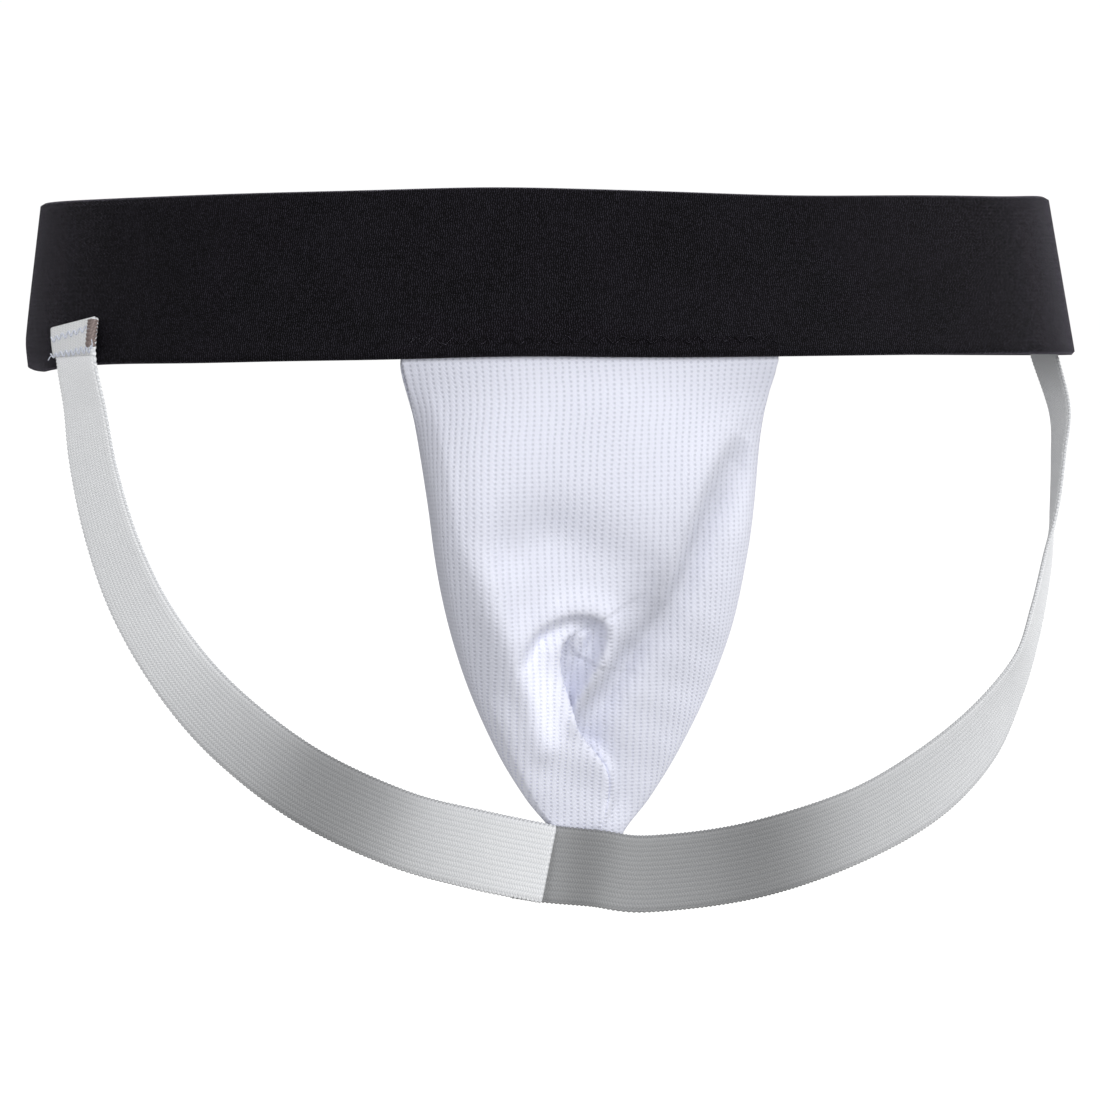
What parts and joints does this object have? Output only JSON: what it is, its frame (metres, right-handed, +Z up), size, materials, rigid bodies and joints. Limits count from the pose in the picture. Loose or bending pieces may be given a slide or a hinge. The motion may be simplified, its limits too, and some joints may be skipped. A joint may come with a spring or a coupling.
{
  "type": "groin protector",
  "caption": "Athletic supporter with a wide elastic waistband, a mesh pocket pouch, elastic leg straps and a removable hard groin cup.",
  "frame": {"origin": "centre of the waistband's ring, halfway up the band", "axes": "+Z up, -Y is the wearer's front, +X is the viewer's right when facing the front"},
  "size_m": [0.3508, 0.2456, 0.2271],
  "materials": {
    "waistband_elastic": "woven elastic, matt black",
    "black_thread": "matt black sewing thread",
    "mesh_fabric": "white eyelet knit mesh",
    "strap_elastic": "white ribbed elastic",
    "white_thread": "white sewing thread",
    "cup_plastic": "moulded off-white plastic, satin",
    "cup_rim_rubber": "soft dark grey rubber"
  },
  "bodies": {
    "waistband": {"waistband": "waistband_elastic", "waistband_lap_stitch": "black_thread", "pouch_seam_stitch": "black_thread", "pouch_hem": "mesh_fabric", "left_leg_strap": "strap_elastic", "right_leg_strap": "strap_elastic", "left_tab_stitch_upper": "white_thread", "left_tab_stitch_lower": "white_thread", "right_tab_stitch_upper": "white_thread", "right_tab_stitch_lower": "white_thread"},
    "pouch": {"pouch_front_panel": "mesh_fabric", "pouch_back_panel": "mesh_fabric", "pocket_mouth_binding": "strap_elastic", "left_side_seam": "white_thread", "right_side_seam": "white_thread", "tip_stitch": "white_thread"},
    "cup": {"cup_shell": "cup_plastic", "cup_rim": "cup_rim_rubber"}
  },
  "joints": [
    {"name": "pouch_swing", "type": "hinge", "parent": "waistband", "child": "pouch", "pos_m": [0, -0.1175, -0.0262], "axis": [-1, 0, 0], "range_deg": [-10, 20], "stiffness_Nm_per_rad": 1, "deforming": ["left_leg_strap", "right_leg_strap"]},
    {"name": "cup_lift", "type": "slide", "parent": "pouch", "child": "cup", "axis": [0, 0, 1], "range_m": [0, 0.15]}
  ]
}
